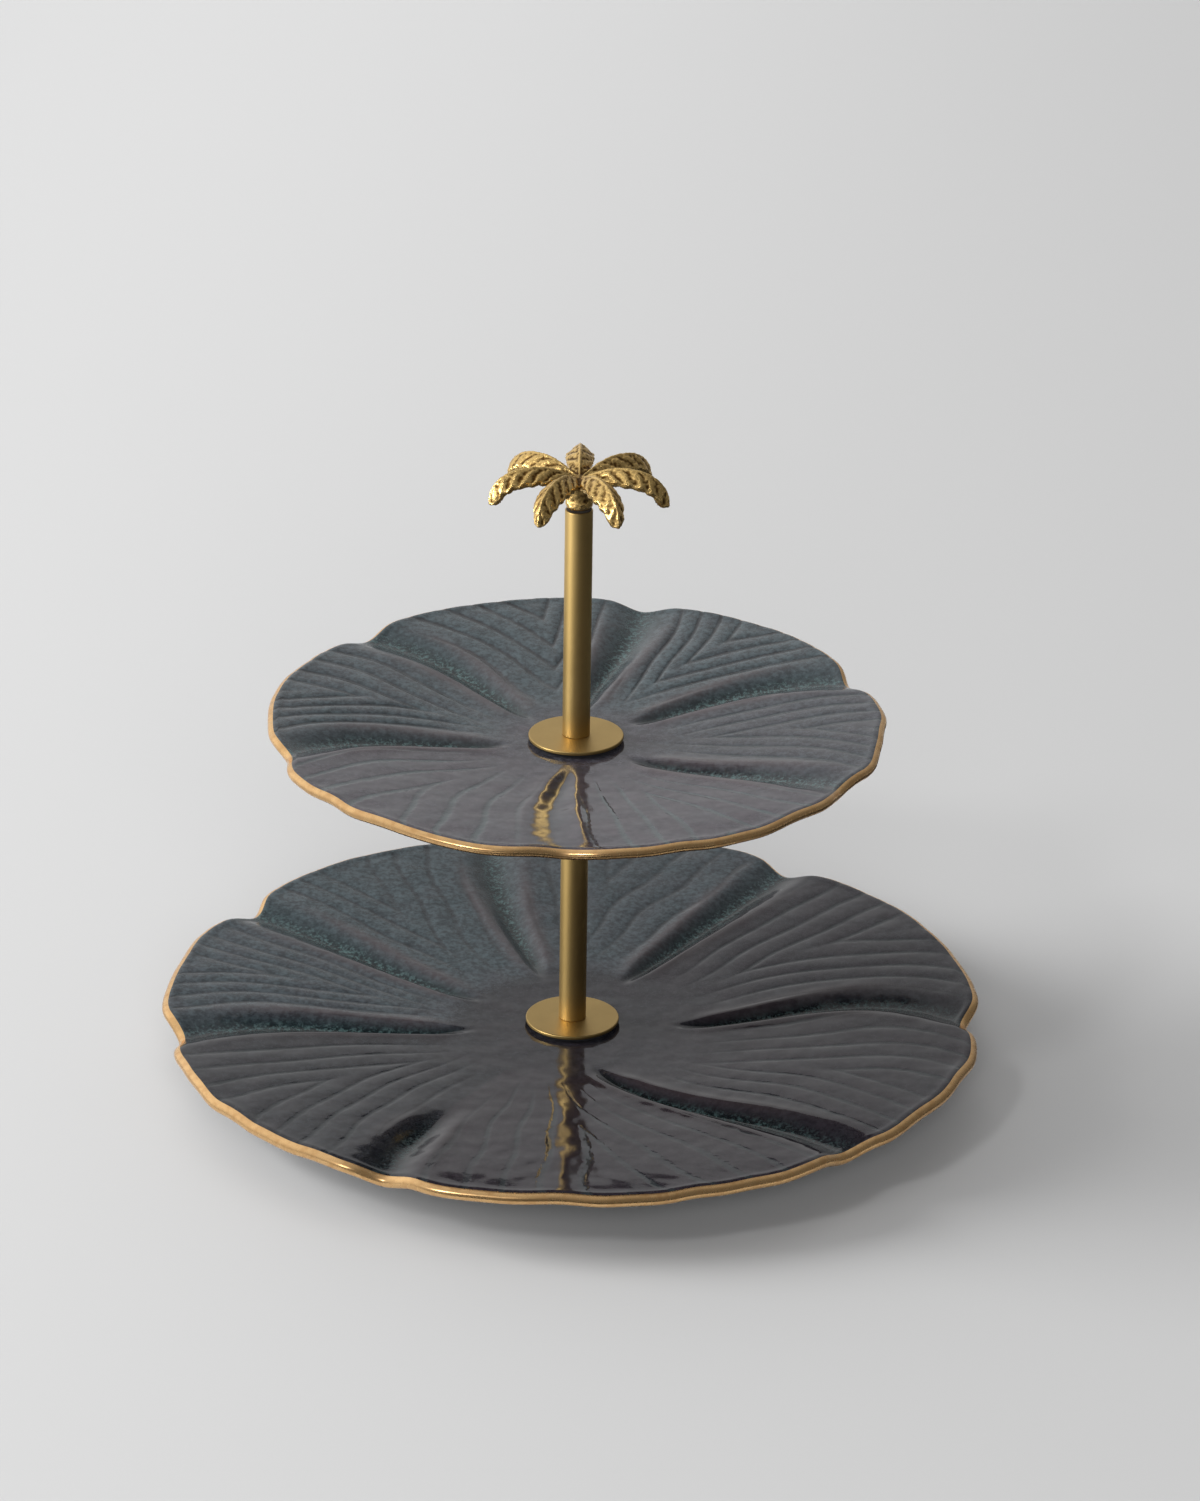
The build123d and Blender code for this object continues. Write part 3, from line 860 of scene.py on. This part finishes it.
FROND_COUNT = 7
FROND_FIRST_ANGLE = 90.0
FROND_STEPS = 60
FROND_TOP_POINTS = 21
FROND_UNDER_POINTS = 9
# A frond's ridge as (radius, height above the collar's foot).
FROND_RIDGE = ((0.6, 9.3), (4.0, 10.9), (10.0, 13.1), (16.8, 13.5), (22.9, 11.9), (27.0, 8.3), (28.5, 2.6))
FROND_HALF_WIDTH = 4.5
FROND_ROOT_HALF_WIDTH = 1.9
FROND_TIP_HALF_WIDTH = 2.1
FROND_THICKNESS = 1.6
LEAFLETS = 7.0
LEAFLET_SLANT = 1.15
LEAFLET_WAVE = 0.045
RIB_HEIGHT = 0.62
MIDRIB_HEIGHT = 0.55
MIDRIB_HALF_WIDTH = 0.15
# Each frond's ribs are moved along by this share of a leaflet from those of the frond before it.
FROND_SHIFT = 0.13
# The tip rounds off from this share of the frond's length, over this share.
TIP_START = 0.93
TIP_LENGTH = 0.07
# The collar and crown as (radius, height), with the waves round them.
CROWN_PROFILE = (
    (3.9, 0.0),
    (4.25, 0.7),
    (4.35, 2.0),
    (4.2, 3.4),
    (4.45, 5.0),
    (4.9, 6.8),
    (4.7, 8.4),
    (3.6, 9.6),
    (1.4, 10.0),
)
CROWN_POINTS = 48
CROWN_WAVES = 5.0
CROWN_WAVE_HEIGHT = 0.13
# The grain of the casting: its height, how close its bumps are, and the size of the mesh that holds it.
CAST_GRAIN = 0.16
CAST_GRAIN_SCALE = 0.75
CAST_VOXEL = 0.27
# A point that stands this far above the ones around it counts fully as a high spot, from this value where it's
# level.
RELIEF_FULL = 0.22
RELIEF_LEVEL = 0.45


def smooth_path(points, count):
    """Evenly spaced places along a smooth line through the points, with their tangents."""
    points = np.array(points)
    knots = np.concatenate([[0.0], np.cumsum(np.hypot(*np.diff(points, axis=0).T))])
    slopes = np.gradient(points, knots, axis=0)
    at = np.linspace(0.0, knots[-1], count)
    left = np.clip(np.searchsorted(knots, at, side="right") - 1, 0, len(knots) - 2)
    span = (knots[left + 1] - knots[left])[:, None]
    t = (at[:, None] - knots[left][:, None]) / span
    start, end = points[left], points[left + 1]
    path = (2 * t**3 - 3 * t**2 + 1) * start + (t**3 - 2 * t**2 + t) * span * slopes[left]
    path = path + (3 * t**2 - 2 * t**3) * end + (t**3 - t**2) * span * slopes[left + 1]
    tangents = np.gradient(path, axis=0)
    return path, tangents / np.linalg.norm(tangents, axis=1)[:, None]


def frond_half_width(share):
    root = FROND_ROOT_HALF_WIDTH + (FROND_HALF_WIDTH - FROND_ROOT_HALF_WIDTH) * np.sin(pi * share)
    tip = FROND_TIP_HALF_WIDTH + (FROND_HALF_WIDTH - FROND_TIP_HALF_WIDTH) * np.abs(np.cos(pi * (share - 0.5)))
    width = np.where(share < 0.5, root, tip)
    return width * (1.0 + LEAFLET_WAVE * np.sin(2.0 * pi * LEAFLETS * share))


def frond_section(share, wobble):
    """The outline across a frond: folded down from its midrib and ribbed on top, plain underneath."""
    rounding = np.sqrt(max(1.0 - max((share - TIP_START) / TIP_LENGTH, 0.0) ** 2, 0.0))
    half_width = float(frond_half_width(np.array(share))) * (0.12 + 0.88 * rounding)
    thickness = FROND_THICKNESS * (0.25 + 0.75 * rounding)
    across = np.linspace(-1.0, 1.0, FROND_TOP_POINTS)
    side = np.abs(across)
    leaflet = 0.5 + 0.5 * np.cos(2.0 * pi * (LEAFLETS * share - LEAFLET_SLANT * side + wobble))
    rib = RIB_HEIGHT * leaflet**0.7 * ease(0.12, 0.35, side) * ease(0.04, 0.16, share)
    midrib = MIDRIB_HEIGHT * np.exp(-((across / MIDRIB_HALF_WIDTH) ** 2))
    fold = -(np.sqrt(side**2 + 0.02) - 0.14) * half_width * 0.92
    top = fold + (rib + midrib) * rounding
    under_across = np.linspace(1.0, -1.0, FROND_UNDER_POINTS) * 0.9
    under = -(np.sqrt(under_across**2 + 0.03) - 0.17) * half_width * 0.95 - thickness
    return np.concatenate([across, under_across]) * half_width, np.concatenate([top, under])


def frond_rings(angle, wobble):
    """Closed rings round one frond, from its root in the crown to its rounded tip."""
    path, tangents = smooth_path(FROND_RIDGE, FROND_STEPS)
    turn = radians(angle)
    rings = []
    for step in range(FROND_STEPS):
        sideways, upwards = frond_section(step / (FROND_STEPS - 1), wobble)
        reach = path[step][0] - upwards * tangents[step][1]
        height = path[step][1] + upwards * tangents[step][0]
        x = reach * cos(turn) - sideways * sin(turn)
        y = reach * sin(turn) + sideways * cos(turn)
        rings.append(np.stack([x, y, height], axis=1))
    return rings


def capped_tube(rings, points, faces):
    """Adds a tube through the rings, closed at both ends, to the lists of points and faces."""
    first = sum(len(block) for block in points)
    count = len(rings[0])
    points.extend(rings)
    for ring in range(len(rings) - 1):
        for step in range(count):
            a = first + ring * count + step
            b = first + ring * count + (step + 1) % count
            faces.append((a, b, b + count, a + count))
    faces.append(tuple(range(first + count - 1, first - 1, -1)))
    last = first + (len(rings) - 1) * count
    faces.append(tuple(range(last, last + count)))


def crown_rings():
    """The collar that stands on the tube, and the crown that the fronds grow from."""
    around = np.linspace(0.0, 2.0 * pi, CROWN_POINTS, endpoint=False)
    rings = []
    for radius, height in CROWN_PROFILE:
        reach = radius + CROWN_WAVE_HEIGHT * np.sin(CROWN_WAVES * around + height) * min(height, 1.0)
        level = np.full(CROWN_POINTS, height)
        rings.append(np.stack([reach * np.cos(around), reach * np.sin(around), level], axis=1))
    return rings


def fused_palm():
    """The crown and the fronds, fused into one skin, in millimetres above the collar's foot."""
    points, faces = [], []
    capped_tube(crown_rings(), points, faces)
    for index in range(FROND_COUNT):
        angle = FROND_FIRST_ANGLE + 360.0 * index / FROND_COUNT
        capped_tube(frond_rings(angle, FROND_SHIFT * index), points, faces)
    mesh = bpy.data.meshes.new("palm_parts")
    mesh.from_pydata(np.concatenate(points).tolist(), [], faces)
    source = new_object("palm_parts", mesh)
    fuse = source.modifiers.new("fuse", "REMESH")
    fuse.mode = "VOXEL"
    fuse.voxel_size = CAST_VOXEL
    soften = source.modifiers.new("soften", "SMOOTH")
    soften.factor = 0.5
    soften.iterations = 2
    fused = bpy.data.meshes.new_from_object(source.evaluated_get(bpy.context.evaluated_depsgraph_get()))
    bpy.data.objects.remove(source)
    bpy.data.meshes.remove(mesh)
    fused.name = "finial_palm_cast"
    return fused


def grained(mesh):
    """The mesh's points with the grain of the mould, and their relief."""
    count = len(mesh.vertices)
    places, normals = np.empty(count * 3), np.empty(count * 3)
    mesh.vertices.foreach_get("co", places)
    mesh.vertices.foreach_get("normal", normals)
    places, normals = places.reshape(-1, 3), normals.reshape(-1, 3)
    grain = [noise.fractal(Vector(place) * CAST_GRAIN_SCALE, 1.0, 2.0, 4) for place in places]
    cast = places + normals * (np.array(grain) * CAST_GRAIN)[:, None]
    cast[:, 2] = np.maximum(cast[:, 2], 0.0)
    return cast, convexity(mesh, cast, normals)


def make_palm(material):
    """One rough casting that stands on the top tube."""
    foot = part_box("finial_palm")[0].z / MM
    mesh = fused_palm()
    cast, relief = grained(mesh)
    cast[:, 2] += foot
    mesh.vertices.foreach_set("co", (cast * MM).ravel())
    mesh.attributes.new("relief", "FLOAT", "POINT").data.foreach_set("value", relief.astype(np.float32))
    mesh.polygons.foreach_set("use_smooth", np.ones(len(mesh.polygons), bool))
    mesh.materials.clear()
    mesh.materials.append(material)
    mesh.update()
    piece = new_object("finial_palm_cast", mesh)
    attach(piece, "finial")
    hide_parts("finial_palm")
    return piece


def convexity(mesh, places, normals):
    """0 in the hollows and 1 on the high spots, from how far each point stands above its neighbours."""
    edges = np.empty(len(mesh.edges) * 2, dtype=np.int64)
    mesh.edges.foreach_get("vertices", edges)
    edges = edges.reshape(-1, 2)
    both = np.concatenate([edges, edges[:, ::-1]])
    neighbours = np.maximum(np.bincount(both[:, 0], minlength=len(places)), 1)

    def average(values):
        return np.bincount(both[:, 0], weights=values[both[:, 1]], minlength=len(places)) / neighbours

    middle = places.copy()
    for _ in range(6):
        middle = np.stack([average(middle[:, axis]) for axis in range(3)], axis=1)
    stand = np.einsum("ij,ij->i", places - middle, normals)
    for _ in range(2):
        stand = average(stand)
    return np.clip(RELIEF_LEVEL + stand / RELIEF_FULL, 0.0, 1.0)


# ---- Hardware that keeps its CAD shape -----------------------------------------------------------


def finish_node(node, material):
    slots = frame["nodes"][node].data.materials
    slots.clear()
    slots.append(material)


# ---- Making the stand ----------------------------------------------------------------------------

make_camera()
light_the_studio()

# The lower plate's glaze is a shaded copy of the upper's: its violet petals darkened as painted shade, and a lower
# IOR for a weaker reflection.
shaded_lower_glaze = glaze_material("petal_glaze_lower_shaded", 0.45, 0.6, 1.375)
upper_glaze = glaze_material("petal_glaze_upper", 1.0, 0.9, 1.52)
lustre = lustre_material()
clay = clay_material()
make_plate(LOWER, (shaded_lower_glaze, lustre, clay))
make_plate(UPPER, (upper_glaze, lustre, clay))

palm = make_palm(cast_gold_material())

slot_materials = {
    "satin_gold": satin_gold_material(),
    "zinc_steel": zinc_material(),
    "black_rubber": rubber_material("black_rubber", RUBBER_BLACK),
    "dark_nylon": rubber_material("dark_nylon", NYLON_BROWN),
}
gold_pieces = [palm]
for subpart in frame["record"]["subparts"]:
    node, slot = subpart["node"], subpart["material_slot"]
    if slot in slot_materials:
        finish_node(node, slot_materials[slot])
    if slot == "satin_gold":
        gold_pieces.append(frame["nodes"][node])
metal_strip(gold_pieces)

bpy.context.scene.view_settings.view_transform = "Standard"
